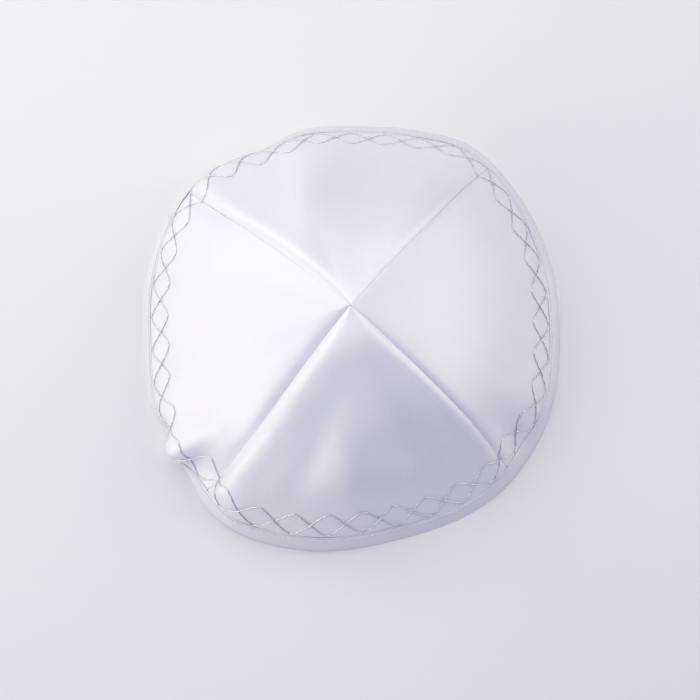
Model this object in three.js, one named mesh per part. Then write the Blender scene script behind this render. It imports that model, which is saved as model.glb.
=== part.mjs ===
// A four-panel satin skullcap standing on its rim.
// Four shaped panels meet in a point at the crown, and one binding wraps their lower edges.
// Millimetres, +Z up, +Y to the back, origin in the middle of the mouth on the surface it rests on.

import * as THREE from 'three';

// Crown
const CROWN_HEIGHT = 58; // rest surface to the point where the panels meet
const TIP_SHARE = 0.4; // share of the fall that is a straight cone, which keeps the tip pointed
const FALL_POWER = 2.8; // how late the rest of the fall comes, which makes the sides steep
const PANEL_FLATNESS = 0.85; // 0 is a round dome, 1 is four panels that bend one way only
const TIP_RADIUS = 0.5; // each panel ends bluntly here, short of the middle

// Cloth
const WALL = 1.2; // satin with its backing
const SEAM_GAP = 0.3; // clearance between neighbouring panels
const SLOT_GAP = 0.5; // clearance between a panel and each side of the binding's slot
const BINDING_THICKNESS = 0.9;
const BINDING_HEIGHT = 6.5; // along the slope

// Mesh fineness
const STEPS_ACROSS = 20; // in each panel
const STEPS_DOWN = 23; // from tip to edge
const SEAM_CROWDING = 0.5; // 0 spaces the steps evenly, more brings them closer to the seams
const EDGE_CROWDING = 1.35; // 1 spaces the steps down evenly, more brings them closer to the edge
const NUDGE = 1e-3; // step for measuring a slope

const QUARTER_TURN = Math.PI / 2;
const FULL_TURN = 360;
const radians = THREE.MathUtils.degToRad;

// Panels in order of bearing, counter-clockwise seen from above, from +X.
// Each starts at its own seam and ends at the next one's. Sway is how far the middle of the seam bows
// out of a straight line from tip to rim, in degrees of bearing.
const PANELS = [
	{ name: 'panel_right', seam: -41.7, sway: 0.6 },
	{ name: 'panel_back', seam: 50.8, sway: -1.0 },
	{ name: 'panel_left', seam: 138.5, sway: 1.4 },
	{ name: 'panel_front', seam: 227.9, sway: 3.0 },
];

// Outline of the crown where it meets the rest surface: full at the seams, flatter between them,
// tucked in at the left where the cloth has sagged.
const RIM_OUTLINE = [
	{ bearing: 0, radius: 84.3 },
	{ bearing: 20, radius: 86.3 },
	{ bearing: 40, radius: 90.0 },
	{ bearing: 58, radius: 93.4 },
	{ bearing: 72, radius: 90.4 },
	{ bearing: 86, radius: 87.9 },
	{ bearing: 103, radius: 88.3 },
	{ bearing: 117, radius: 85.4 },
	{ bearing: 143, radius: 89.2 },
	{ bearing: 165, radius: 86.3 },
	{ bearing: 181, radius: 84.0 },
	{ bearing: 197, radius: 85.4 },
	{ bearing: 208, radius: 84.0 },
	{ bearing: 221, radius: 86.6 },
	{ bearing: 230, radius: 90.8 },
	{ bearing: 240, radius: 92.3 },
	{ bearing: 258, radius: 89.5 },
	{ bearing: 283, radius: 85.2 },
	{ bearing: 312, radius: 87.6 },
	{ bearing: 330, radius: 86.9 },
];

// Folds and dents. Each is deepest at its bearing and reach, and dies away over spread and length.
// Reach is 0 at the tip and 1 at the rim. Rise lifts the cloth, push moves it outwards, and skew turns
// the fold's line, in degrees of bearing for each unit of reach.
const FOLDS = [
	{ name: 'front_ridge', bearing: 269.5, spread: 14, reach: 0.72, length: 0.26, rise: 4.2, push: 0, skew: - 20 },
	{ name: 'front_swell', bearing: 265, spread: 24, reach: 0.68, length: 0.34, rise: 3.6, push: 0, skew: 0 },
	{ name: 'front_hollow', bearing: 298, spread: 11, reach: 0.72, length: 0.24, rise: - 2.4, push: 0, skew: 0 },
	{ name: 'front_bulge', bearing: 280, spread: 17, reach: 0.8, length: 0.11, rise: 4, push: 0, skew: 0 },
	{ name: 'front_corner', bearing: 237, spread: 6, reach: 0.93, length: 0.07, rise: 0, push: 1.5, skew: 0 },
	{ name: 'left_corner', bearing: 214.5, spread: 5, reach: 0.88, length: 0.075, rise: 0, push: 12, skew: 0 },
	{ name: 'left_bulge', bearing: 204, spread: 6.5, reach: 0.89, length: 0.09, rise: 0, push: 6, skew: 0 },
	{ name: 'left_swell', bearing: 219, spread: 6, reach: 0.8, length: 0.08, rise: 3, push: 0, skew: 0 },
	{ name: 'left_wall', bearing: 180, spread: 35, reach: 0.955, length: 0.035, rise: 0, push: 1, skew: 0 },
	{ name: 'left_hollow', bearing: 150, spread: 7, reach: 0.5, length: 0.32, rise: - 0.6, push: 0, skew: 0 },
	{ name: 'back_wall', bearing: 128, spread: 17, reach: 0.935, length: 0.07, rise: 0, push: 6.5, skew: 0 },
	{ name: 'back_ridge', bearing: 112, spread: 15, reach: 0.68, length: 0.28, rise: 3.6, push: 0, skew: - 38 },
	{ name: 'back_hollow', bearing: 74, spread: 11, reach: 0.62, length: 0.3, rise: - 0.6, push: 0, skew: 0 },
	{ name: 'right_bulge', bearing: 338, spread: 8, reach: 0.9, length: 0.09, rise: 0, push: 1.5, skew: 0 },
	{ name: 'right_dent', bearing: 326.5, spread: 6, reach: 0.91, length: 0.09, rise: - 2, push: - 2, skew: 0 },
];
const HOLD_POWER = 30; // how close to the rim the folds die away

// Radius of the outline at a bearing: a smooth closed curve through the rows of RIM_OUTLINE,
// with each row's slope taken from its two neighbours.
function rimRadius( bearing ) {

	const count = RIM_OUTLINE.length;
	const row = ( i ) => ( {
		bearing: RIM_OUTLINE[ ( i + count ) % count ].bearing + FULL_TURN * Math.floor( i / count ),
		radius: RIM_OUTLINE[ ( i + count ) % count ].radius,
	} );
	const turned = THREE.MathUtils.euclideanModulo( bearing, FULL_TURN );
	let i = count - 1;
	while ( RIM_OUTLINE[ i ].bearing > turned ) i --;

	const [ before, start, end, after ] = [ row( i - 1 ), row( i ), row( i + 1 ), row( i + 2 ) ];
	const span = end.bearing - start.bearing;
	const startSlope = ( end.radius - before.radius ) / ( end.bearing - before.bearing );
	const endSlope = ( after.radius - start.radius ) / ( after.bearing - start.bearing );
	const t = ( turned - start.bearing ) / span;
	const ease = t * t * ( 3 - 2 * t );
	return THREE.MathUtils.lerp( start.radius, end.radius, ease )
		+ span * t * ( 1 - t ) * ( startSlope * ( 1 - t ) - endSlope * t );

}

// The bearing of the seam that a panel starts at, at a reach.
function seamBearing( index, reach ) {

	const { seam, sway } = PANELS[ index % PANELS.length ];
	return seam + sway * Math.sin( Math.PI * Math.min( reach, 1 ) );

}

// The bearing a fraction of the way across a panel, with the steps crowded towards its seams, and how
// far that is from the panel's middle, from -1 at its first seam to 1 at its last.
function panelPlace( index, fraction, reach ) {

	const start = seamBearing( index, reach );
	const span = THREE.MathUtils.euclideanModulo( seamBearing( index + 1, reach ) - start, FULL_TURN );
	const crowded = fraction - SEAM_CROWDING * Math.sin( 2 * Math.PI * fraction ) / ( 2 * Math.PI );
	return { bearing: start + span * crowded, fromMiddle: 2 * crowded - 1 };

}

// How far the folds move the cloth out of its smooth shape: outwards as x and upwards as y.
function foldShift( bearing, reach ) {

	const shift = new THREE.Vector2();
	for ( const fold of FOLDS ) {

		const off = bearing - fold.skew * ( reach - fold.reach ) - fold.bearing;
		const across = ( THREE.MathUtils.euclideanModulo( off + 180, FULL_TURN ) - 180 ) / fold.spread;
		const along = ( reach - fold.reach ) / fold.length;
		const share = Math.exp( - across * across - along * along );
		shift.add( new THREE.Vector2( fold.push, fold.rise ).multiplyScalar( share ) );

	}

	return shift.multiplyScalar( 1 - reach ** HOLD_POWER );

}

// Meridian of the crown's outer face: distance from the axis and height, at a reach.
// The fall from the tip is a cone plus a late power curve. A flat panel falls as the distance to its
// own middle line does, so the seams stay high as ridges, until the rim makes the crown round.
function meridian( place, reach ) {

	const flat = PANEL_FLATNESS * ( 1 - reach * reach );
	const cut = 1 - flat * ( 1 - Math.cos( place.fromMiddle * QUARTER_TURN / 2 ) );
	const fall = reach * cut;
	const height = CROWN_HEIGHT * ( 1 - TIP_SHARE * fall - ( 1 - TIP_SHARE ) * fall ** FALL_POWER );
	const smooth = new THREE.Vector2( reach * rimRadius( place.bearing ), height );
	return smooth.add( foldShift( place.bearing, reach ) );

}

// Slope of the meridian at the rim, where it meets the rest surface, as length along it per reach.
function edgeLength( place ) {

	const fallAtEdge = CROWN_HEIGHT * ( TIP_SHARE + ( 1 - TIP_SHARE ) * FALL_POWER );
	return Math.hypot( rimRadius( place.bearing ), fallAtEdge );

}

// A point in the cloth, at a depth below the crown's outer face. Depth runs towards the middle of the
// mouth, so the underside of everything at the rim is flat, and is stretched to be a true thickness.
function clothPoint( place, reach, depth ) {

	const face = meridian( place, reach );
	const along = meridian( place, reach + NUDGE ).sub( meridian( place, reach - NUDGE ) ).normalize();
	const inward = face.clone().normalize().negate();
	const squareness = Math.abs( along.cross( inward ) );
	return face.addScaledVector( inward, depth / squareness );

}

// The same point in space, held clear of the seam planes on both sides by half the seam gap.
function spacePoint( index, fraction, reach, depth ) {

	const place = panelPlace( index, fraction, reach );
	const point = clothPoint( place, reach, depth );
	const angle = radians( place.bearing );
	const clearance = - SEAM_GAP / 2 * place.fromMiddle;
	return new THREE.Vector3(
		point.x * Math.cos( angle ) - clearance * Math.sin( angle ),
		point.x * Math.sin( angle ) + clearance * Math.cos( angle ),
		point.y,
	);

}

// Moves every vertex of a geometry to where a function sends it.
function bend( geometry, target ) {

	const position = geometry.attributes.position;
	for ( let i = 0; i < position.count; i ++ ) {

		const point = target( new THREE.Vector3().fromBufferAttribute( position, i ) );
		position.setXYZ( i, point.x, point.y, point.z );

	}

	geometry.computeVertexNormals();
	return geometry;

}

const satin = ( color, roughness ) => new THREE.MeshStandardMaterial( {
	color,
	roughness,
	metalness: 0,
	side: THREE.DoubleSide,
} );

// One panel: a unit block, bent so that its front is the outer face and its top edge is the tip.
function makePanel( index ) {

	const block = new THREE.BoxGeometry( 1, 1, 1, STEPS_ACROSS, STEPS_DOWN, 1 );
	const edgeClearance = BINDING_THICKNESS + SEAM_GAP; // above the bottom of the binding's slot
	const geometry = bend( block, ( corner ) => {

		const fraction = corner.x + 0.5;
		const down = 1 - ( 0.5 + corner.y ) ** EDGE_CROWDING;
		const edge = panelPlace( index, fraction, 1 );
		const first = TIP_RADIUS / rimRadius( edge.bearing );
		const last = 1 - edgeClearance / edgeLength( edge );
		const reach = THREE.MathUtils.lerp( first, last, down );
		return spacePoint( index, fraction, reach, WALL * ( 0.5 - corner.z ) );

	} );

	const panel = new THREE.Mesh( geometry, satin( 0xe9e8f0, 0.35 ) );
	panel.name = PANELS[ index ].name;
	return panel;

}

// The binding: a folded strip with a slot for the panels' edges, drawn as a section whose x is the
// depth below the crown's outer face and whose y is the height along the slope, then led round the rim.
function makeBinding() {

	const outside = - BINDING_THICKNESS - SLOT_GAP;
	const inside = WALL + SLOT_GAP + BINDING_THICKNESS;
	const slotOutside = - SLOT_GAP;
	const slotInside = WALL + SLOT_GAP;
	const sleeveRadius = 10 * inside; // the section is swept at this radius before it is led to its place
	const section = [
		[ outside, 0 ],
		[ outside, BINDING_HEIGHT / 2 ],
		[ outside, BINDING_HEIGHT ],
		[ slotOutside, BINDING_HEIGHT ],
		[ slotOutside, BINDING_HEIGHT / 2 ],
		[ slotOutside, BINDING_THICKNESS ],
		[ slotInside, BINDING_THICKNESS ],
		[ slotInside, BINDING_HEIGHT / 2 ],
		[ slotInside, BINDING_HEIGHT ],
		[ inside, BINDING_HEIGHT ],
		[ inside, 0 ],
		[ outside, 0 ],
	].map( ( [ depth, up ] ) => new THREE.Vector2( sleeveRadius - depth, up ) );

	const sleeve = new THREE.LatheGeometry( section, STEPS_ACROSS * PANELS.length ).rotateX( QUARTER_TURN );
	const geometry = bend( sleeve, ( corner ) => {

		const turn = THREE.MathUtils.euclideanModulo( Math.atan2( corner.y, corner.x ), 2 * Math.PI );
		const steps = Math.round( turn / QUARTER_TURN * STEPS_ACROSS ) % ( PANELS.length * STEPS_ACROSS );
		const index = Math.floor( steps / STEPS_ACROSS );
		const fraction = ( steps % STEPS_ACROSS ) / STEPS_ACROSS;
		const reach = 1 - corner.z / edgeLength( panelPlace( index, fraction, 1 ) );
		const depth = sleeveRadius - Math.hypot( corner.x, corner.y );
		const place = panelPlace( index, fraction, reach );
		const point = clothPoint( place, reach, depth );
		const angle = radians( place.bearing );
		return new THREE.Vector3( point.x * Math.cos( angle ), point.x * Math.sin( angle ), point.y );

	} );

	const binding = new THREE.Mesh( geometry, satin( 0xdcdbe8, 0.4 ) );
	binding.name = 'rim_binding';
	return binding;

}

const skullcap = new THREE.Group();
PANELS.forEach( ( _, index ) => skullcap.add( makePanel( index ) ) );
skullcap.add( makeBinding() );

export default skullcap;
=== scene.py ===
"""A white satin skullcap: four panels, a bound rim and a ring of silver embroidery.

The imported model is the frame. One description of the crown's form gives every surface, as numpy
arrays in metres. Bearings are degrees counter-clockwise from +X, and reach runs from 0 at the crown
point to 1 where the rim meets the surface that the cap rests on.
"""

import logging
import math
from dataclasses import dataclass
from enum import Enum

import bpy
import numpy as np
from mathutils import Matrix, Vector

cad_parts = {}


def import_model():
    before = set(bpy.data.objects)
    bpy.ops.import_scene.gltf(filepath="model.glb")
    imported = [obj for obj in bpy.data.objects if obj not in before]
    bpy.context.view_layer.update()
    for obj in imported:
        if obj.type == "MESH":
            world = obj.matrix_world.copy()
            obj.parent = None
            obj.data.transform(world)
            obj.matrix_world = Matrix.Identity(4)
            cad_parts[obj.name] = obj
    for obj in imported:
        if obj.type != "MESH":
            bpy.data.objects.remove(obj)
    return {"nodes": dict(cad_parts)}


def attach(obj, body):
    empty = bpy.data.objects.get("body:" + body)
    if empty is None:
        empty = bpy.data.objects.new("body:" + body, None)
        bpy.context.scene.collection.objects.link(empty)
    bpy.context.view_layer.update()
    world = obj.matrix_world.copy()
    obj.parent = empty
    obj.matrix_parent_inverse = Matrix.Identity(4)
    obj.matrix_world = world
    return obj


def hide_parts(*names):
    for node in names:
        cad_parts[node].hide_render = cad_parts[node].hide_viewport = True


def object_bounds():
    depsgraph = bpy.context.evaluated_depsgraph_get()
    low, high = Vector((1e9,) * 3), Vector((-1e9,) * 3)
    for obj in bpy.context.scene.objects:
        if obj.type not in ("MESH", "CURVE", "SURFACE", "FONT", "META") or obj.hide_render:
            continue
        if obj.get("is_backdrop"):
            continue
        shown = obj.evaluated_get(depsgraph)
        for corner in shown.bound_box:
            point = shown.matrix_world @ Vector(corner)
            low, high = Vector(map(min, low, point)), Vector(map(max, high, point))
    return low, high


MM = 0.001
FULL_TURN = 360.0
REACH_NUDGE = 1e-3
BEARING_NUDGE = 0.05
SMALLEST_LENGTH = 1e-12
LEAST_SQUARENESS = 0.5

log = logging.getLogger("skullcap")


def smooth_step(value: np.ndarray) -> np.ndarray:
    """Ease from 0 to 1 with level ends: 3t^2 - 2t^3 for t clipped to 0..1."""
    t = np.clip(value, 0.0, 1.0)
    return t * t * (3.0 - 2.0 * t)


def angle_between(bearing: np.ndarray, other: float) -> np.ndarray:
    """Signed degrees from one bearing to another, from -180 to 180."""
    return np.mod(bearing - other + 180.0, FULL_TURN) - 180.0


def unit(vectors: np.ndarray) -> np.ndarray:
    """The same vectors at length 1."""
    return vectors / np.maximum(np.linalg.norm(vectors, axis=-1, keepdims=True), SMALLEST_LENGTH)


# ----------------------------------------------------------------------------- the crown's form


@dataclass(frozen=True)
class OutlineRow:
    """One point of a closed outline."""

    bearing: float
    value: float


@dataclass(frozen=True)
class ClosedOutline:
    """A smooth closed curve through a few rows, as a value at each bearing."""

    rows: tuple[OutlineRow, ...]

    def at(self, bearing: np.ndarray) -> np.ndarray:
        """Cubic through the two rows around a bearing, with slopes taken from their neighbours.

        Args:
            bearing: Degrees, any range.

        Returns:
            The outline's value at each bearing.
        """
        own = np.array([row.bearing for row in self.rows])
        values = np.array([row.value for row in self.rows])
        knots = np.concatenate([own[-2:] - FULL_TURN, own, own[:3] + FULL_TURN])
        heights = np.concatenate([values[-2:], values, values[:3]])
        turned = np.mod(bearing, FULL_TURN)
        i = np.clip(np.searchsorted(knots, turned, side="right") - 1, 1, len(knots) - 3)
        span = knots[i + 1] - knots[i]
        start_slope = (heights[i + 1] - heights[i - 1]) / (knots[i + 1] - knots[i - 1])
        end_slope = (heights[i + 2] - heights[i]) / (knots[i + 2] - knots[i])
        t = (turned - knots[i]) / span
        ease = t * t * (3.0 - 2.0 * t)
        bow = span * t * (1.0 - t) * (start_slope * (1.0 - t) - end_slope * t)
        return heights[i] * (1.0 - ease) + heights[i + 1] * ease + bow


@dataclass(frozen=True)
class Fold:
    """A fold or dent, deepest at its bearing and reach.

    Rise lifts it and push moves it outwards. Skew turns its line, in degrees for each unit of reach.
    """

    bearing: float
    spread: float
    reach: float
    length: float
    rise: float = 0.0
    push: float = 0.0
    skew: float = 0.0

    def share(self, bearing: np.ndarray, reach: np.ndarray) -> np.ndarray:
        """How much of the fold is felt at a place: a bell curve across times one along."""
        line = bearing - self.skew * (reach - self.reach)
        across = angle_between(line, self.bearing) / self.spread
        along = (reach - self.reach) / self.length
        return np.exp(-across * across - along * along)


@dataclass(frozen=True)
class Seam:
    """The seam where a panel starts. Sway bows its middle out of a straight line, in degrees."""

    panel: str
    bearing: float
    sway: float


@dataclass(frozen=True)
class CrownForm:
    """The smooth form of the crown's outer face.

    The fall from the tip is a cone plus a late power curve. A flat panel falls as the distance to its
    own middle line does, so the seams stay high as ridges until the rim makes the crown round.
    """

    height: float
    outline: ClosedOutline
    seams: tuple[Seam, ...]
    folds: tuple[Fold, ...]
    tip_share: float = 0.4
    fall_power: float = 2.8
    flatness: float = 0.85
    hold_power: float = 30.0

    def seam_bearing(self, index: int, reach: np.ndarray) -> np.ndarray:
        """Bearing of a seam at a reach: its own bearing plus its sway times half a sine wave.

        Args:
            index: Which seam, counted on past the last one into the next turn.
            reach: From 0 at the crown point to 1 at the rim.

        Returns:
            Degrees.
        """
        seam = self.seams[index % len(self.seams)]
        turns = index // len(self.seams)
        return seam.bearing + turns * FULL_TURN + seam.sway * np.sin(math.pi * np.minimum(reach, 1.0))

    def across_panel(self, index: int, share: np.ndarray, reach: np.ndarray) -> np.ndarray:
        """Bearing at a share of the way across a panel, from its own seam to the next one's."""
        start = self.seam_bearing(index, reach)
        return start + (self.seam_bearing(index + 1, reach) - start) * share

    def from_middle(self, bearing: np.ndarray, reach: np.ndarray) -> np.ndarray:
        """How far a place is from its panel's middle.

        Args:
            bearing: Degrees, any range.
            reach: From 0 at the crown point to 1 at the rim.

        Returns:
            -1 at the panel's own seam, 0 in its middle and 1 at the next panel's seam.
        """
        bearing, reach = np.broadcast_arrays(bearing, reach)
        found = np.zeros(bearing.shape)
        for index in range(len(self.seams)):
            start = self.seam_bearing(index, reach)
            width = self.seam_bearing(index + 1, reach) - start
            beyond = np.mod(bearing - start, FULL_TURN)
            found = np.where(beyond < width, 2.0 * beyond / width - 1.0, found)
        return found

    def meridian(self, bearing: np.ndarray, reach: np.ndarray) -> tuple[np.ndarray, np.ndarray]:
        """The outline swept down the fall, with the folds, which the rim holds still.

        Args:
            bearing: Degrees.
            reach: From 0 at the crown point to 1 at the rim.

        Returns:
            Distance from the axis, and height, of the outer face.
        """
        flat = self.flatness * (1.0 - reach**2)
        cut = 1.0 - flat * (1.0 - np.cos(self.from_middle(bearing, reach) * math.pi / 4.0))
        fall = np.clip(reach, 0.0, None) * cut
        drop = self.tip_share * fall + (1.0 - self.tip_share) * fall**self.fall_power
        held = 1.0 - np.clip(reach, 0.0, 1.0) ** self.hold_power
        rise = sum(fold.rise * fold.share(bearing, reach) for fold in self.folds)
        push = sum(fold.push * fold.share(bearing, reach) for fold in self.folds)
        radius = reach * self.outline.at(bearing) + push * held
        return radius, self.height * (1.0 - drop) + rise * held

    def edge_length(self, bearing: np.ndarray) -> np.ndarray:
        """Length along the slope for each unit of reach, at the rim."""
        steepest = self.height * (self.tip_share + (1.0 - self.tip_share) * self.fall_power)
        return np.hypot(self.outline.at(bearing), steepest)

    def reach_above_rim(self, bearing: np.ndarray, up: np.ndarray) -> np.ndarray:
        """The reach of a place a length up the slope from the rim."""
        return 1.0 - up / self.edge_length(bearing)

    def face(self, bearing: np.ndarray, reach: np.ndarray) -> np.ndarray:
        """Points of the outer face."""
        radius, height = self.meridian(bearing, reach)
        angle = np.radians(bearing)
        return np.stack([radius * np.cos(angle), radius * np.sin(angle), height], axis=-1)

    def normal(self, bearing: np.ndarray, reach: np.ndarray) -> np.ndarray:
        """The slope down the crown crossed with the slope round it.

        Args:
            bearing: Degrees.
            reach: From 0 at the crown point to 1 at the rim.

        Returns:
            Outward directions at length 1.
        """
        down = self.face(bearing, reach + REACH_NUDGE) - self.face(bearing, reach - REACH_NUDGE)
        before, after = bearing - BEARING_NUDGE, bearing + BEARING_NUDGE
        return unit(np.cross(down, self.face(after, reach) - self.face(before, reach)))

    @staticmethod
    def into_cloth(face: np.ndarray, normal: np.ndarray) -> np.ndarray:
        """Steps towards the middle of the mouth that each go one metre into the cloth.

        Args:
            face: Points of the outer face.
            normal: Outward directions there.

        Returns:
            Steps, longer where the way to the middle is slanted against the cloth.
        """
        towards = unit(-face)
        squareness = np.abs(np.sum(towards * normal, axis=-1, keepdims=True))
        return towards / np.maximum(squareness, LEAST_SQUARENESS)


@dataclass(frozen=True)
class SeamSide:
    """How the cloth lies beside one seam, on one panel.

    Sink is how far the cloth drops into the seam and slope is how wide that drop is. Swell is the
    height of the roll beside the seam and crest is how far from the seam it peaks.
    """

    sink: float
    slope: float
    swell: float
    crest: float


@dataclass(frozen=True)
class EyeRun:
    """Where one panel's run of embroidered eyes starts, and how many it has."""

    bearing: float
    eyes: int


@dataclass(frozen=True)
class Waves:
    """The two waves of the embroidery, which cross to make a chain of eyes round the rim."""

    runs: tuple[EyeRun, ...]
    middle: float
    half_height: float
    sharpness: float = 0.06

    @property
    def eyes(self) -> int:
        """Eyes in the whole ring."""
        return sum(run.eyes for run in self.runs)

    def _knots(self) -> tuple[np.ndarray, np.ndarray]:
        """Bearings where the runs start and end, and the eyes counted up to them."""
        bearings = [run.bearing for run in self.runs] + [self.runs[0].bearing + FULL_TURN]
        return np.array(bearings), np.cumsum([0] + [run.eyes for run in self.runs])

    def bearing_of(self, count: np.ndarray) -> np.ndarray:
        """Bearing of a place counted in eyes from the first run, evenly spaced within each run."""
        bearings, counts = self._knots()
        turns, rest = np.divmod(count, self.eyes)
        return np.interp(rest, counts, bearings) + FULL_TURN * turns

    def count_at(self, bearing: np.ndarray) -> np.ndarray:
        """Eyes counted from the first run to a bearing."""
        bearings, counts = self._knots()
        turned = np.mod(bearing - bearings[0], FULL_TURN) + bearings[0]
        return np.interp(turned, bearings, counts)

    def height_up(self, count: np.ndarray) -> np.ndarray:
        """The middle plus half a wave to each eye.

        The wave is a sine sharpened towards a zigzag, sin x - s sin(3x), brought to height 1.

        Args:
            count: Places counted in eyes from the first run.

        Returns:
            Length up the slope from the rim.
        """
        turn = math.pi * count
        wave = (np.sin(turn) - self.sharpness * np.sin(3.0 * turn)) / (1.0 + self.sharpness)
        return self.middle + self.half_height * wave


@dataclass(frozen=True)
class Ripple:
    """A slow wave of the cloth: its weight, and its radians for each radian round, reach and panel."""

    weight: float
    around: float
    along: float
    shift: float


@dataclass(frozen=True)
class Relief:
    """The fine lie of the cloth on the crown's form, as a lift along the normal.

    Seams start shallow at the crown point: drop_growth and roll_start are the lengths over which the
    drops and rolls beside them grow. Puckers are short waves along a seam, and ripples are slow ones
    all over. The embroidery pulls the cloth in, and the binding holds it from held_reach on.
    """

    form: CrownForm
    starts: tuple[SeamSide, ...]
    ends: tuple[SeamSide, ...]
    waves: Waves
    cloth_length: float = 112.0 * MM
    pucker: float = 0.06 * MM
    pucker_pitch: float = 5.5 * MM
    pucker_drift: float = 9.0 * MM
    pucker_width: float = 4.0 * MM
    roll_start: float = 30.0 * MM
    drop_growth: float = 14.0 * MM
    drop_full: float = 1.15
    drop_least: float = 0.02
    end_lead: float = 2.3 * MM
    ripple: float = 0.14 * MM
    ripples: tuple[Ripple, ...] = (
        Ripple(1.0, 9.0, 5.0, 1.0),
        Ripple(0.7, 17.0, -4.0, 2.0),
        Ripple(0.5, 29.0, 11.0, 0.0),
    )
    ripple_reach: float = 0.3
    ripple_growth: float = 0.6
    held_reach: float = 0.968
    held_growth: float = 0.07
    pull: float = 0.16 * MM
    pull_width: float = 1.3 * MM

    def beside_seam(self, side: SeamSide, away: np.ndarray, along: np.ndarray) -> np.ndarray:
        """Lift beside a seam: a bell-shaped drop, a roll d/w exp(1 - d/w), and puckers.

        Args:
            side: How this side lies.
            away: Metres from the seam.
            along: Metres from the crown point.

        Returns:
            Metres along the outward normal.
        """
        d = np.maximum(away, 0.0)
        starts = smooth_step(along / self.roll_start)
        grown = self.drop_full * along / (along + self.drop_growth) + self.drop_least
        drop = -side.sink * grown * np.exp(-((d / (side.slope * grown)) ** 1.5))
        roll = side.swell * (d / side.crest) * np.exp(1.0 - d / side.crest) * starts
        drift = 1.7 * np.sin(along / self.pucker_drift)
        wave = np.sin(2.0 * math.pi * along / self.pucker_pitch + drift)
        return drop + roll + self.pucker * wave * starts * np.exp(-d / self.pucker_width)

    def pulled(self, bearing: np.ndarray, reach: np.ndarray) -> np.ndarray:
        """How far the embroidery pulls the cloth in: a bell curve across each of its two waves.

        Args:
            bearing: Degrees.
            reach: From 0 at the crown point to 1 at the rim.

        Returns:
            Metres along the inward normal.
        """
        up = (1.0 - reach) * self.form.edge_length(bearing)
        count = self.waves.count_at(bearing)
        found = np.zeros(np.broadcast(bearing, reach).shape)
        for start in (0.0, 1.0):
            off = (up - self.waves.height_up(count + start)) / self.pull_width
            found = found + self.pull * np.exp(-off * off)
        return found

    def lift(self, index: int, bearing: np.ndarray, reach: np.ndarray) -> np.ndarray:
        """Lift of a panel's cloth at a place.

        Args:
            index: Which panel.
            bearing: Degrees.
            reach: From 0 at the crown point to 1 at the rim.

        Returns:
            Metres along the outward normal.
        """
        radius = reach * self.form.outline.at(bearing)
        along = reach * self.cloth_length
        per_degree = np.radians(1.0) * radius
        first = (bearing - self.form.seam_bearing(index, reach)) * per_degree
        last = (self.form.seam_bearing(index + 1, reach) - bearing) * per_degree
        beside = self.beside_seam(self.starts[index], first, along)
        beside = beside + self.beside_seam(self.ends[index], last, along + self.end_lead)
        angle = np.radians(bearing)
        waved = self.ripple * smooth_step((reach - self.ripple_reach) / self.ripple_growth) * sum(
            one.weight * np.sin(one.around * angle + one.along * reach + one.shift * index)
            for one in self.ripples
        )
        free = smooth_step((self.held_reach - reach) / self.held_growth)
        return (beside + waved - self.pulled(bearing, reach)) * free

    def any_lift(self, bearing: np.ndarray, reach: np.ndarray) -> np.ndarray:
        """Lift at places that may lie on any panel.

        Args:
            bearing: Degrees, any range.
            reach: From 0 at the crown point to 1 at the rim.

        Returns:
            Metres along the outward normal.
        """
        found = np.zeros(np.broadcast(bearing, reach).shape)
        for index in range(len(self.form.seams)):
            start = self.form.seam_bearing(index, reach)
            width = self.form.seam_bearing(index + 1, reach) - start
            beyond = np.mod(bearing - start, FULL_TURN)
            found = np.where(beyond < width, self.lift(index, start + beyond, reach), found)
        return found

    def cloth(self, bearing: np.ndarray, reach: np.ndarray, above: np.ndarray) -> np.ndarray:
        """Points at a height above the cloth's outer face."""
        lift = self.any_lift(bearing, reach) + above
        return self.form.face(bearing, reach) + self.form.normal(bearing, reach) * lift[..., None]


# ----------------------------------------------------------------------------- meshes


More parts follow.
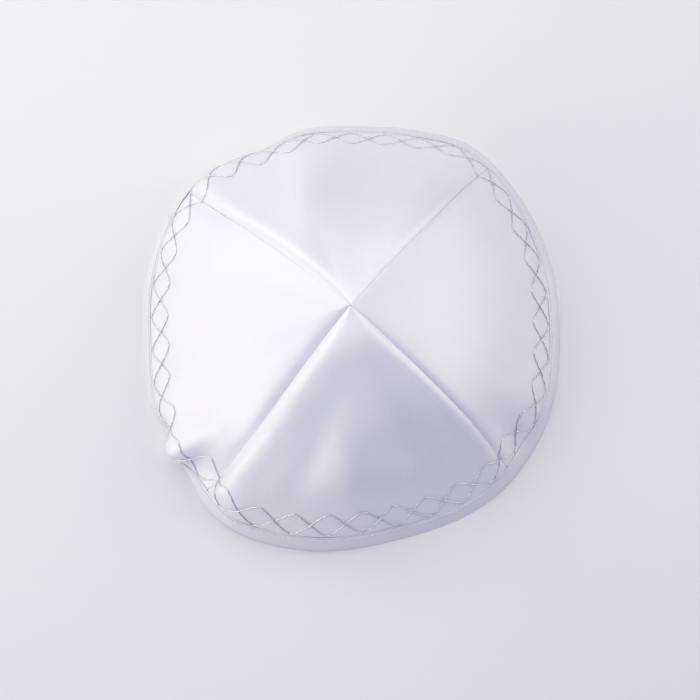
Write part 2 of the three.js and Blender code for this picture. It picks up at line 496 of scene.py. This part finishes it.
class MeshMaker:
    """Turns arrays of points into mesh objects."""

    @staticmethod
    def grid_faces(rows: int, columns: int, around: bool = False, along: bool = False) -> np.ndarray:
        """Quads of a grid of points stored row by row.

        Args:
            rows: Number of rows.
            columns: Points in each row.
            around: Whether each row's last point joins its first.
            along: Whether the last row joins the first.

        Returns:
            Four point numbers for each quad.
        """
        r, c = np.meshgrid(
            np.arange(rows if along else rows - 1),
            np.arange(columns if around else columns - 1),
            indexing="ij",
        )
        right, below = (c + 1) % columns, (r + 1) % rows
        corners = [r * columns + c, below * columns + c, below * columns + right, r * columns + right]
        return np.stack(corners, axis=-1).reshape(-1, 4)

    @staticmethod
    def make(
        name: str, points: np.ndarray, faces: list[list[int]], uv: np.ndarray | None = None
    ) -> bpy.types.Object:
        """Makes a smooth-shaded mesh object.

        Args:
            name: The piece's name.
            points: Its points, in metres.
            faces: Point numbers, a list for each face.
            uv: A pair of millimetre coordinates for each point, for patterns that follow the cloth.

        Returns:
            The object, linked to the scene.
        """
        mesh = bpy.data.meshes.new(name)
        mesh.from_pydata(points.reshape(-1, 3), [], faces)
        mesh.polygons.foreach_set("use_smooth", np.ones(len(mesh.polygons), bool))
        if uv is not None:
            layer = mesh.uv_layers.new(name="cloth")
            corners = np.zeros(len(mesh.loops), np.int32)
            mesh.loops.foreach_get("vertex_index", corners)
            layer.data.foreach_set("uv", uv.reshape(-1, 2)[corners].ravel())
        mesh.update()
        made = bpy.data.objects.new(name, mesh)
        bpy.context.scene.collection.objects.link(made)
        return made

    @staticmethod
    def swept(path: np.ndarray, ups: np.ndarray, section: np.ndarray) -> np.ndarray:
        """A section carried along a path.

        Each point is the path's point plus the section's first coordinate along the side direction
        and its second along the up direction, where side is the path's tangent crossed with up.

        Args:
            path: Points of a closed path.
            ups: A direction away from the cloth at each point.
            section: For each path point, the section's points as (side, up) pairs.

        Returns:
            Points, one row for each path point.
        """
        tangent = unit(np.roll(path, -1, axis=0) - np.roll(path, 1, axis=0))
        side = unit(np.cross(tangent, ups))
        up = np.cross(side, tangent)
        return (
            path[:, None, :]
            + side[:, None, :] * section[..., 0:1]
            + up[:, None, :] * section[..., 1:2]
        )


# ----------------------------------------------------------------------------- shader maths


class Wire:
    """A shader socket that takes part in Python arithmetic."""

    def __init__(self, board: "Board", socket: bpy.types.NodeSocket) -> None:
        """Wraps an output socket of a board's node."""
        self.board = board
        self.socket = socket

    def _math(self, operation: str, first: object, second: object) -> "Wire":
        """Adds a Math node on two values."""
        node = self.board.node("ShaderNodeMath", {"operation": operation}, {0: first, 1: second})
        return Wire(self.board, node.outputs[0])

    def __add__(self, other: object) -> "Wire":
        """Sum."""
        return self._math("ADD", self, other)

    def __mul__(self, other: object) -> "Wire":
        """Product."""
        return self._math("MULTIPLY", self, other)

    def sine(self) -> "Wire":
        """Sine of the value in radians."""
        return self._math("SINE", self, 0.0)

    def fraction(self) -> "Wire":
        """The part after the point."""
        return self._math("FRACT", self, 0.0)


class Board:
    """One material's nodes, and the one way that they are added."""

    def __init__(self, tree: bpy.types.NodeTree) -> None:
        """Takes an empty node tree."""
        self.tree = tree

    def node(self, kind: str, settings: dict[str, object], inputs: dict[object, object]) -> bpy.types.Node:
        """Adds a node.

        Args:
            kind: The node's type.
            settings: Its properties, set first.
            inputs: Values, sockets or wires for its sockets, by name, number or identifier.

        Returns:
            The node.
        """
        made = self.tree.nodes.new(kind)
        for name, value in settings.items():
            setattr(made, name, value)
        for key, value in inputs.items():
            self._feed(self._socket(made, key), value)
        return made

    def wire(self, kind: str, settings: dict[str, object], inputs: dict[object, object], out: str) -> Wire:
        """Adds a node and gives the wire of one of its outputs."""
        made = self.node(kind, settings, inputs)
        return Wire(self, next(s for s in made.outputs if out in (s.name, s.identifier)))

    def mixed(self, factor: Wire, low: tuple[float, ...], high: tuple[float, ...]) -> Wire:
        """A colour between two colours."""
        inputs = {"Factor_Float": factor, "A_Color": low, "B_Color": high}
        return self.wire("ShaderNodeMix", {"data_type": "RGBA"}, inputs, "Result_Color")

    def noise(self, place: Wire, scale: float, detail: float) -> Wire:
        """Cloudy noise from 0 to 1 at a place."""
        inputs = {"Vector": place, "Scale": scale, "Detail": detail}
        return self.wire("ShaderNodeTexNoise", {}, inputs, "Fac")

    def bump(self, height: Wire, distance: float, strength: float, under: Wire | None = None) -> Wire:
        """Bends the surface's direction by a height.

        Args:
            height: The height, from 0 to 1.
            distance: How many metres a height of 1 is.
            strength: Share of the effect.
            under: Another bump that this one lies on.

        Returns:
            The bent direction.
        """
        inputs = {"Height": height, "Distance": distance, "Strength": strength}
        if under is not None:
            inputs["Normal"] = under
        return self.wire("ShaderNodeBump", {}, inputs, "Normal")

    def surface(self, inputs: dict[object, object]) -> None:
        """Ends the material with a Principled surface."""
        shader = self.wire("ShaderNodeBsdfPrincipled", {}, inputs, "BSDF")
        self.node("ShaderNodeOutputMaterial", {}, {"Surface": shader})

    @staticmethod
    def _socket(node: bpy.types.Node, key: object) -> bpy.types.NodeSocket:
        """Finds an input by number, identifier or name."""
        if isinstance(key, int):
            return node.inputs[key]
        by_identifier = [s for s in node.inputs if s.identifier == key]
        return by_identifier[0] if by_identifier else node.inputs[key]

    def _feed(self, socket: bpy.types.NodeSocket, value: object) -> None:
        """Links a wire to a socket, or sets the socket's value."""
        if isinstance(value, Wire):
            self.tree.links.new(value.socket, socket)
        elif isinstance(value, tuple) and len(value) == 3 and socket.type == "RGBA":
            socket.default_value = (*value, 1.0)
        else:
            socket.default_value = value


def new_material(name: str) -> tuple[bpy.types.Material, Board]:
    """An empty node material and its board."""
    material = bpy.data.materials.new(name)
    material.use_nodes = True
    material.node_tree.nodes.clear()
    return material, Board(material.node_tree)


class Weave(Enum):
    """How the yarns of a cloth run, as yarns across and along in each millimetre."""

    SATIN = (5.0, 3.0)
    RIBBON = (6.0, 2.2)


@dataclass(frozen=True)
class SatinFinish:
    """White satin: a pearly gloss over a pale cloth, with faint yarns and uneven tension.

    Slubs are thick places in the yarn: they raise the cloth and dull it by slub_dulling.
    """

    name: str
    light: tuple[float, float, float] = (0.885, 0.88, 0.905)
    shade: tuple[float, float, float] = (0.835, 0.83, 0.87)
    tone_scale: float = 38.0
    lustre: float = 0.3
    roughness: float = 0.45
    specular: float = 0.55
    sheen: float = 0.25
    sheen_roughness: float = 0.35
    sheen_tint: tuple[float, float, float] = (0.93, 0.93, 1.0)
    weave: Weave = Weave.SATIN
    weave_depth: float = 0.012 * MM
    slub_depth: float = 0.05 * MM
    slubs_per_mm: tuple[float, float, float] = (0.45, 0.05, 1.0)
    slub_dulling: float = 0.12

    def build(self) -> bpy.types.Material:
        """Makes the material. Height is yarn waves plus stretched noise; tone follows slow noise."""
        material, board = new_material(self.name)
        cloth = board.wire("ShaderNodeUVMap", {"uv_map": "cloth"}, {}, "UV")
        across, along = self.weave.value
        split = board.node("ShaderNodeSeparateXYZ", {}, {"Vector": cloth})
        u = Wire(board, split.outputs["X"])
        v = Wire(board, split.outputs["Y"])
        warp = (u * (2.0 * math.pi * across)).sine()
        step = (v * along + u * (across * 0.4)).fraction()
        floats = (step * (2.0 * math.pi)).sine()
        yarns = warp * 0.7 + warp * floats * 0.3
        stretch = {"Vector": cloth, "Scale": self.slubs_per_mm}
        stretched = board.wire("ShaderNodeMapping", {}, stretch, "Vector")
        slubs = board.noise(stretched, 1.0, 3.0)
        place = board.wire("ShaderNodeTexCoord", {}, {}, "Object")
        tone = board.noise(place, self.tone_scale, 2.0)
        fine = board.bump(yarns, self.weave_depth, 1.0)
        board.surface(
            {
                "Base Color": board.mixed(tone, self.shade, self.light),
                "Metallic": self.lustre,
                "Roughness": slubs * self.slub_dulling + (self.roughness - self.slub_dulling / 2.0),
                "Specular IOR Level": self.specular,
                "Sheen Weight": self.sheen,
                "Sheen Roughness": self.sheen_roughness,
                "Sheen Tint": self.sheen_tint,
                "Normal": board.bump(slubs, self.slub_depth, 1.0, under=fine),
            }
        )
        return material


@dataclass(frozen=True)
class ThreadFinish:
    """Thread whose plies show as slanting stripes along it. Its colour holds painted highlight on the ply
    crests, painted shade in the grooves between them, and painted glints.
    """

    name: str
    light: tuple[float, float, float]
    dark: tuple[float, float, float]
    metallic: float
    roughness: float
    plies_per_mm: float
    ply_depth: float = 0.05 * MM
    ply_share: float = 0.6
    glint_scale: float = 900.0
    glint_dulling: float = 0.2

    def build(self) -> bpy.types.Material:
        """Makes the material. Stripes are a sine of the length along plus the angle round."""
        material, board = new_material(self.name)
        thread = board.wire("ShaderNodeUVMap", {"uv_map": "cloth"}, {}, "UV")
        split = board.node("ShaderNodeSeparateXYZ", {}, {"Vector": thread})
        length = Wire(board, split.outputs["X"])
        turn = Wire(board, split.outputs["Y"])
        stripes = ((length * self.plies_per_mm + turn) * (2.0 * math.pi)).sine() * 0.5 + 0.5
        place = board.wire("ShaderNodeTexCoord", {}, {}, "Object")
        glints = board.noise(place, self.glint_scale, 2.0)
        # Colour: painted shade and highlight across the plies, mixed with painted glints. The bump from
        # the stripes is real relief.
        tone = stripes * self.ply_share + glints * (1.0 - self.ply_share)
        board.surface(
            {
                "Base Color": board.mixed(tone, self.dark, self.light),
                "Metallic": self.metallic,
                "Roughness": glints * self.glint_dulling + (self.roughness - self.glint_dulling / 2.0),
                "Normal": board.bump(stripes, self.ply_depth, 0.6),
            }
        )
        return material


# ----------------------------------------------------------------------------- the cap's pieces


def crowded(share: np.ndarray, crowding: float) -> np.ndarray:
    """Moves even shares from 0 to 1 closer to both ends: t - c sin(2 pi t) / (2 pi)."""
    return share - crowding * np.sin(2.0 * math.pi * share) / (2.0 * math.pi)


@dataclass
class SatinPanel:
    """One satin gore, a closed wall that runs from the crown point into the binding."""

    relief: Relief
    index: int
    finish: bpy.types.Material
    wall: float = 0.9 * MM
    steps_across: int = 130
    steps_down: int = 150
    seam_gap: float = 0.02 * MM
    tip_radius: float = 0.1 * MM
    edge_up: float = 1.6 * MM
    crowding: float = 0.62

    @property
    def node(self) -> str:
        """The CAD node that this panel stands for, which is also its name."""
        return self.relief.form.seams[self.index].panel

    def build(self) -> bpy.types.Object:
        """Makes the panel: outer face, inner face and the edges between them, as one closed grid.

        Rows run from tip to edge. Each row goes across on the outer face and back on the inner one,
        so the grid closes round the seams, and the first and last rows are closed by strips.

        Returns:
            The panel's object.
        """
        form = self.relief.form
        share = crowded(np.linspace(0.0, 1.0, self.steps_across + 1), self.crowding)[None, :]
        first = self.tip_radius / form.height
        last = form.reach_above_rim(form.across_panel(self.index, share, np.ones((1, 1))), self.edge_up)
        down = np.linspace(0.0, 1.0, self.steps_down + 1)[:, None]
        reach = first + (last - first) * down
        bearing = form.across_panel(self.index, share, reach)
        radius = reach * form.outline.at(bearing)
        clear = np.degrees(self.seam_gap / np.maximum(radius, self.tip_radius)) * (1.0 - 2.0 * share)
        lift = self.relief.lift(self.index, bearing, reach)
        normal = form.normal(bearing, reach)
        face = form.face(bearing + clear, reach)
        outer = face + normal * lift[..., None]
        inner = outer + form.into_cloth(face, normal) * self.wall
        rows, columns = outer.shape[:2]
        ring = np.concatenate([outer, inner[:, ::-1]], axis=1)
        faces = MeshMaker.grid_faces(rows, 2 * columns, around=True)
        top = np.arange(columns - 1)
        back = 2 * columns - 1 - top
        tip = np.stack([top, top + 1, back - 1, back], axis=-1)
        edge = tip[:, ::-1] + (rows - 1) * 2 * columns
        across = np.radians(bearing - form.across_panel(self.index, 0.5, reach)) * radius
        grain = np.stack([across, reach * self.relief.cloth_length], axis=-1) / MM
        uv = np.concatenate([grain, grain[:, ::-1]], axis=1)
        made = MeshMaker.make(self.node, ring, np.concatenate([faces, tip, edge]).tolist(), uv)
        made.data.materials.append(self.finish)
        return made


@dataclass
class RimBinding:
    """The folded satin strip that wraps the panels' lower edges.

    The stitches press its upper edge flat and make it puff between them, and slack makes it wander.
    """

    relief: Relief
    finish: bpy.types.Material
    height: float = 6.5 * MM
    proud: float = 0.60 * MM
    wall: float = 0.9 * MM
    leg: float = 0.55 * MM
    slot_floor: float = 1.0 * MM
    foot_round: float = 0.9
    steps_round: int = 900
    stitch_pitch: float = 2.2 * MM
    press: float = 0.45
    press_above: float = 0.3 * MM
    press_width: float = 1.2 * MM
    puff: float = 0.04 * MM
    puff_below: float = 1.4 * MM
    puff_width: float = 1.3 * MM
    slack: float = 0.10 * MM
    slack_length: float = 7.0 * MM
    slack_drift: float = 31.0 * MM
    still_foot: float = 1.5 * MM

    def section(self) -> np.ndarray:
        """The strip's closed section as (depth, up) pairs, with round folds at both tops and below."""
        outside, inside = -self.proud, self.wall + self.proud
        round_top = 0.5 * self.leg
        half = np.linspace(0.0, math.pi, 7)
        outer_top = np.stack(
            [outside + round_top - round_top * np.cos(half), self.height + round_top * np.sin(half)], -1
        )
        inner_top = outer_top + [inside - outside - self.leg, 0.0]
        corner = np.linspace(0.0, math.pi / 2.0, 5)
        radius = self.foot_round * self.leg
        foot_in = np.stack(
            [inside - radius + radius * np.cos(corner), radius - radius * np.sin(corner)], -1
        )
        foot_out = np.stack(
            [outside + radius - radius * np.sin(corner), radius - radius * np.cos(corner)], -1
        )
        slot = np.array([[outside + self.leg, self.slot_floor], [inside - self.leg, self.slot_floor]])
        up_out = np.linspace(radius, self.height, 9)[1:-1]
        outer_leg = np.stack([np.full_like(up_out, outside), up_out], -1)
        inner_leg = np.stack([np.full_like(up_out, inside), up_out[::-1]], -1)
        return np.concatenate([outer_leg, outer_top, slot, inner_top, inner_leg, foot_in, foot_out])

    def build(self) -> bpy.types.Object:
        """Makes the binding by leading the section round the rim.

        Depth runs towards the middle of the mouth, so the underside is flat. Between stitches the
        strip stands out by a cosine of the length round the rim.

        Returns:
            The binding's object.
        """
        form = self.relief.form
        section = self.section()
        bearing = np.linspace(0.0, FULL_TURN, self.steps_round, endpoint=False)[:, None]
        depth, up = section[None, :, 0], section[None, :, 1]
        reach = form.reach_above_rim(bearing, up)
        face = form.face(bearing, reach)
        normal = form.normal(bearing, reach)
        around = np.cumsum(np.linalg.norm(np.diff(face[:, 0], axis=0, append=face[:1, 0]), axis=1))
        near_edge = np.exp(-(((up - self.height - self.press_above) / self.press_width) ** 2))
        near_stitch = np.exp(-(((up - self.height + self.puff_below) / self.puff_width) ** 2))
        puff = self.puff * np.cos(2.0 * math.pi * around / self.stitch_pitch)[:, None]
        drift = 2.0 * np.sin(around / self.slack_drift)
        slack = self.slack * np.sin(around / self.slack_length + drift)[:, None]
        outside = (depth < 0.0) * smooth_step(up / self.still_foot)
        depth = depth * np.where(depth < 0.0, 1.0 - self.press * near_edge, 1.0)
        depth = depth - (puff * near_stitch + slack) * outside
        points = face + form.into_cloth(face, normal) * depth[..., None]
        faces = MeshMaker.grid_faces(*points.shape[:2], around=True, along=True)
        length = np.broadcast_to(around[:, None] / MM, points.shape[:2])
        strip = np.cumsum(np.linalg.norm(np.diff(section, axis=0, prepend=section[:1]), axis=1)) / MM
        uv = np.stack([np.broadcast_to(strip[None, :], length.shape), length], axis=-1)
        made = MeshMaker.make("rim_binding", points, faces.tolist(), uv)
        made.data.materials.append(self.finish)
        return made


@dataclass
class Topstitch:
    """The row of stitches that holds the binding's upper edge."""

    relief: Relief
    binding: RimBinding
    finish: bpy.types.Material
    below_edge: float = 0.7 * MM
    stitch: float = 1.95 * MM
    thread_radius: float = 0.17 * MM
    arch: float = 1.6
    sunk: float = 0.5
    thinnest: float = 0.02
    rings: int = 9
    sides: int = 8
    line_steps: int = 2880

    def build(self) -> bpy.types.Object:
        """Makes every stitch as a thin capsule that arches over the strip and dips in at both ends."""
        form = self.relief.form
        up = self.binding.height - self.below_edge
        fine = np.linspace(0.0, FULL_TURN, self.line_steps + 1)
        line = form.face(fine, form.reach_above_rim(fine, up))
        run = np.concatenate([[0.0], np.cumsum(np.linalg.norm(np.diff(line, axis=0), axis=1))])
        count = int(run[-1] / self.binding.stitch_pitch)
        start = np.arange(count)[:, None] * run[-1] / count
        t = np.linspace(0.0, 1.0, self.rings)[None, :]
        bearing = np.interp(start + self.stitch * t, run, fine)
        reach = form.reach_above_rim(bearing, up)
        above = self.binding.proud + self.thread_radius * (self.arch * np.sin(math.pi * t) - self.sunk)
        normal = form.normal(bearing, reach)
        path = form.face(bearing, reach) + normal * above[..., None]
        tangent = unit(np.gradient(path, axis=1))
        side = unit(np.cross(tangent, normal))
        upward = np.cross(side, tangent)
        thick = self.thread_radius * np.sqrt(np.clip(1.0 - (2.0 * t - 1.0) ** 6, self.thinnest, 1.0))
        turn = np.linspace(0.0, 2.0 * math.pi, self.sides, endpoint=False)
        ring = (
            side[..., None, :] * np.cos(turn)[:, None] + upward[..., None, :] * np.sin(turn)[:, None]
        )
        points = path[..., None, :] + ring * thick[..., None, None]
        one = MeshMaker.grid_faces(self.rings, self.sides, around=True)
        cap = np.arange(self.sides).reshape(1, -1)
        size = self.rings * self.sides
        offsets = np.arange(count)[:, None, None] * size
        quads = (one[None] + offsets).reshape(-1, 4)
        lids = np.concatenate([cap, cap[:, ::-1] + size - self.sides])
        lids = (lids[None] + offsets).reshape(-1, self.sides)
        uv = np.stack(
            np.broadcast_arrays(
                ((start + self.stitch * t) / MM)[..., None], (turn / (2.0 * math.pi))[None, None, :]
            ),
            axis=-1,
        )
        made = MeshMaker.make("binding_topstitch", points, quads.tolist() + lids.tolist(), uv)
        made.data.materials.append(self.finish)
        return made


@dataclass
class Embroidery:
    """The ring of silver embroidery: one thread led twice round the rim in waves that cross.

    The number of eyes is odd, so the second round falls between the waves of the first and lies
    over them. Over, arch and clear are heights in thread radii: over the first round at a crossing,
    of a stitch between its needle holes, and of every stitch.
    """

    relief: Relief
    finish: bpy.types.Material
    thread_radius: float = 0.25 * MM
    over: float = 1.9
    over_length: float = 0.075
    arch: float = 0.9
    clear: float = 0.1
    ply_relief: float = 0.16
    stitches_per_eye: int = 6
    steps_per_stitch: int = 10
    sides: int = 10
    ply_pitch: float = 1.5 * MM

    def build(self) -> bpy.types.Object:
        """Makes the thread.

        Between needle holes each stitch is straight and arches over the cloth, and the second round
        rises over the first at every crossing. The section is round with two plies that turn along
        the thread: its radius times 1 + ply_relief cos(2 turn - twist).

        Returns:
            The embroidery's object.
        """
        waves = self.relief.waves
        rounds = 2 * waves.eyes
        at = np.arange(rounds * self.stitches_per_eye * self.steps_per_stitch) / self.steps_per_stitch
        hole = np.floor(at)
        within = at - hole
        ends = []
        for number in (hole, hole + 1.0):
            count = number / self.stitches_per_eye
            ends.append((waves.bearing_of(count), waves.height_up(count)))
        bearing = ends[0][0] * (1.0 - within) + ends[1][0] * within
        up = ends[0][1] * (1.0 - within) + ends[1][1] * within
        count = at / self.stitches_per_eye
        from_crossing = np.abs(count - np.round(count))
        second = (count > waves.eyes - 0.5) & (count < rounds - 0.5)
        over = self.over * self.thread_radius * np.exp(-((from_crossing / self.over_length) ** 2)) * second
        arch = self.arch * self.thread_radius * np.sqrt(np.sin(math.pi * np.clip(within, 0.0, 1.0)))
        above = self.clear * self.thread_radius + arch + over
        form = self.relief.form
        reach = form.reach_above_rim(bearing, up)
        path = self.relief.cloth(bearing, reach, above)
        normal = form.normal(bearing, reach)
        around = np.cumsum(np.linalg.norm(np.diff(path, axis=0, append=path[:1]), axis=1))
        turn = np.linspace(0.0, 2.0 * math.pi, self.sides, endpoint=False)[None, :]
        twist = 2.0 * math.pi * around[:, None] / self.ply_pitch
        radius = self.thread_radius * (1.0 + self.ply_relief * np.cos(2.0 * turn - twist))
        section = np.stack([radius * np.cos(turn), radius * np.sin(turn)], axis=-1)
        points = MeshMaker.swept(path, normal, section)
        faces = MeshMaker.grid_faces(*points.shape[:2], around=True, along=True)
        uv = np.stack(np.broadcast_arrays(around[:, None] / MM, turn / (2.0 * math.pi)), axis=-1)
        made = MeshMaker.make("silver_embroidery", points, faces.tolist(), uv)
        made.data.materials.append(self.finish)
        return made


# ----------------------------------------------------------------------------- the studio


@dataclass(frozen=True)
class SoftLight:
    """A large soft lamp, placed by where it stands as seen from the cap."""

    name: str
    azimuth: float
    elevation: float
    distance: float
    size: float
    watts: float
    colour: tuple[float, float, float]

    def build(self) -> bpy.types.Object:
        """Makes the lamp, aimed at the cap."""
        lamp = bpy.data.lights.new(self.name, "AREA")
        lamp.shape = "DISK"
        lamp.size = self.size
        lamp.energy = self.watts
        lamp.color = self.colour
        made = bpy.data.objects.new(self.name, lamp)
        turn, rise = math.radians(self.azimuth), math.radians(self.elevation)
        level = math.cos(rise)
        towards = np.array([math.cos(turn) * level, math.sin(turn) * level, math.sin(rise)])
        made.location = towards * self.distance
        made.rotation_euler = Vector(towards).to_track_quat("Z", "Y").to_euler()
        bpy.context.scene.collection.objects.link(made)
        return made


@dataclass
class Studio:
    """The pale floor, the lights and the camera."""

    floor_side: float = 7.0
    floor_tone: tuple[float, float, float] = (0.84, 0.835, 0.835)
    floor_roughness: float = 0.55
    floor_specular: float = 0.3
    ambient: tuple[float, float, float] = (0.53, 0.50, 1.0)
    ambient_strength: float = 0.45
    elevation: float = 78.2
    distance: float = 1.3
    view_width: float = 284.6 * MM
    off_middle: tuple[float, float] = (0.4 * MM, 5.7 * MM)
    lights: tuple[SoftLight, ...] = (
        SoftLight("left_back_light", 136.0, 15.0, 0.8, 0.8, 1.7, (1.0, 0.99, 0.85)),
        SoftLight("left_front_light", 215.0, 15.0, 1.25, 1.2, 5.8, (1.0, 1.0, 0.75)),
        SoftLight("left_light", 184.0, 25.0, 0.85, 1.0, 1.45, (1.0, 1.0, 0.71)),
        SoftLight("top_light", 118.0, 62.0, 0.75, 0.85, 2.65, (0.98, 1.0, 0.76)),
        SoftLight("right_light", 14.0, 34.0, 1.25, 1.0, 5.6, (1.0, 1.0, 0.72)),
    )

    def build(self) -> None:
        """Makes everything around the cap."""
        self._floor()
        self._ambient()
        self._camera()
        for light in self.lights:
            light.build()
        bpy.context.scene.view_settings.view_transform = "Standard"

    def _floor(self) -> None:
        """Makes the floor, a plain pale matt surface."""
        half = self.floor_side / 2.0
        corners = np.array([[-half, -half, 0], [half, -half, 0], [half, half, 0], [-half, half, 0]])
        floor = MeshMaker.make("floor", corners, [[0, 1, 2, 3]])
        material, board = new_material("floor_paper")
        board.surface(
            {
                "Base Color": self.floor_tone,
                "Roughness": self.floor_roughness,
                "Specular IOR Level": self.floor_specular,
            }
        )
        floor.data.materials.append(material)
        floor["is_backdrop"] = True

    def _ambient(self) -> None:
        """Sets the even light that comes from all round."""
        world = bpy.data.worlds.new("studio_air")
        world.use_nodes = True
        background = world.node_tree.nodes["Background"]
        background.inputs["Color"].default_value = (*self.ambient, 1.0)
        background.inputs["Strength"].default_value = self.ambient_strength
        bpy.context.scene.world = world

    def _camera(self) -> None:
        """Places the camera above the front of the cap, looking along +Y."""
        data = bpy.data.cameras.new("camera")
        data.lens = data.sensor_width * self.distance / self.view_width
        data.clip_start = 0.01
        camera = bpy.data.objects.new("camera", data)
        rise = math.radians(self.elevation)
        back = np.array([0.0, -math.cos(rise), math.sin(rise)])
        above = np.array([0.0, math.sin(rise), math.cos(rise)])
        right = np.array([1.0, 0.0, 0.0])
        aim = -right * self.off_middle[0] - above * self.off_middle[1]
        camera.location = aim + back * self.distance
        camera.rotation_euler = (math.pi / 2.0 - rise, 0.0, 0.0)
        bpy.context.scene.collection.objects.link(camera)
        bpy.context.scene.camera = camera


# ----------------------------------------------------------------------------- the whole cap


RIM_ROWS = (
    OutlineRow(0.0, 84.3 * MM),
    OutlineRow(20.0, 86.3 * MM),
    OutlineRow(40.0, 90.0 * MM),
    OutlineRow(58.0, 93.4 * MM),
    OutlineRow(72.0, 90.4 * MM),
    OutlineRow(86.0, 87.9 * MM),
    OutlineRow(103.0, 88.3 * MM),
    OutlineRow(117.0, 85.4 * MM),
    OutlineRow(143.0, 89.2 * MM),
    OutlineRow(165.0, 86.3 * MM),
    OutlineRow(181.0, 84.0 * MM),
    OutlineRow(197.0, 85.4 * MM),
    OutlineRow(208.0, 84.0 * MM),
    OutlineRow(221.0, 86.6 * MM),
    OutlineRow(230.0, 90.8 * MM),
    OutlineRow(240.0, 92.3 * MM),
    OutlineRow(258.0, 89.5 * MM),
    OutlineRow(283.0, 85.2 * MM),
    OutlineRow(312.0, 87.6 * MM),
    OutlineRow(330.0, 86.9 * MM),
)

SEAMS = (
    Seam("panel_right", -41.7, 0.6),
    Seam("panel_back", 50.8, -1.0),
    Seam("panel_left", 138.5, 1.4),
    Seam("panel_front", 227.9, 3.0),
)

FOLDS = (
    Fold(269.5, 13.0, 0.72, 0.26, rise=5.2 * MM, skew=-20.0),
    Fold(265.0, 24.0, 0.68, 0.34, rise=3.6 * MM),
    Fold(298.0, 11.0, 0.72, 0.24, rise=-2.4 * MM),
    Fold(280.0, 17.0, 0.80, 0.11, rise=4.0 * MM),
    Fold(237.0, 6.0, 0.93, 0.07, push=1.5 * MM),
    Fold(214.5, 5.0, 0.91, 0.065, push=11.5 * MM),
    Fold(204.0, 6.5, 0.91, 0.08, push=5.0 * MM),
    Fold(219.0, 6.0, 0.81, 0.07, rise=3.6 * MM),
    Fold(223.5, 4.0, 0.92, 0.05, rise=-2.2 * MM),
    Fold(221.0, 6.0, 0.955, 0.035, push=1.6 * MM),
    Fold(180.0, 35.0, 0.955, 0.035, push=1.0 * MM),
    Fold(150.0, 7.0, 0.50, 0.32, rise=-0.6 * MM),
    Fold(128.0, 17.0, 0.935, 0.07, push=6.5 * MM),
    Fold(110.0, 16.0, 0.68, 0.28, rise=4.4 * MM, skew=-36.0),
    Fold(74.0, 11.0, 0.62, 0.30, rise=-0.6 * MM),
    Fold(338.0, 9.0, 0.90, 0.09, push=1.5 * MM),
    Fold(326.5, 6.0, 0.91, 0.09, rise=-2.0 * MM, push=-2.0 * MM),
)

# How the cloth lies after each panel's own seam, and before the next one's.
STARTS = (
    SeamSide(0.8 * MM, 1.7 * MM, 0.4 * MM, 4.0 * MM),
    SeamSide(0.7 * MM, 2.2 * MM, 0.6 * MM, 4.0 * MM),
    SeamSide(2.3 * MM, 5.6 * MM, 0.0 * MM, 6.0 * MM),
    SeamSide(2.9 * MM, 2.6 * MM, 2.0 * MM, 7.0 * MM),
)
ENDS = (
    SeamSide(0.7 * MM, 1.5 * MM, 0.2 * MM, 4.0 * MM),
    SeamSide(2.3 * MM, 2.3 * MM, 1.0 * MM, 4.0 * MM),
    SeamSide(2.9 * MM, 3.5 * MM, 0.3 * MM, 7.0 * MM),
    SeamSide(0.8 * MM, 1.9 * MM, 0.8 * MM, 4.5 * MM),
)

WAVES = Waves(
    (EyeRun(-42.1, 9), EyeRun(46.8, 9), EyeRun(132.2, 10), EyeRun(228.7, 9)),
    middle=13.0 * MM,
    half_height=5.5 * MM,
)


def dress(piece: bpy.types.Object, nodes: tuple[str, ...] = ()) -> bpy.types.Object:
    """Makes a piece ride on the cap and reports it."""
    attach(piece, "root")
    if nodes:
        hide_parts(*nodes)
    log.info("%s: %d faces", piece.name, len(piece.data.polygons))
    return piece


def main() -> None:
    """Builds the cap around its frame, then the studio."""
    logging.basicConfig(level=logging.INFO, format="%(name)s: %(message)s")
    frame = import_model()
    cad_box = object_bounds()
    log.info("frame: %s", ", ".join(sorted(frame["nodes"])))
    crown_top = cad_box[1].z
    form = CrownForm(crown_top, ClosedOutline(RIM_ROWS), SEAMS, FOLDS)
    relief = Relief(form, STARTS, ENDS, WAVES)
    Studio().build()

    satin = SatinFinish("panel_satin").build()
    # The binding's satin is the panel satin made darker: painted shade for the hem where it turns down to
    # the floor.
    strip = SatinFinish(
        "binding_satin",
        light=(0.85, 0.845, 0.87),
        shade=(0.80, 0.795, 0.83),
        weave=Weave.RIBBON,
    ).build()
    # The light and dark colours of both threads are painted highlight and painted shade across their
    # plies.
    silver = ThreadFinish(
        "silver_thread",
        light=(0.93, 0.93, 0.95),
        dark=(0.60, 0.60, 0.63),
        metallic=0.95,
        roughness=0.24,
        plies_per_mm=2.2,
    ).build()
    cotton = ThreadFinish(
        "white_thread",
        light=(0.93, 0.93, 0.95),
        dark=(0.80, 0.80, 0.85),
        metallic=0.0,
        roughness=0.55,
        plies_per_mm=2.6,
    ).build()

    for index in range(len(SEAMS)):
        panel = SatinPanel(relief, index, satin)
        made = dress(panel.build(), (panel.node,))
    binding = RimBinding(relief, strip)
    made_binding = dress(binding.build(), ("rim_binding",))
    stitches = dress(Topstitch(relief, binding, cotton).build())
    dress(Embroidery(relief, silver).build())


if __name__ == "__main__":
    main()
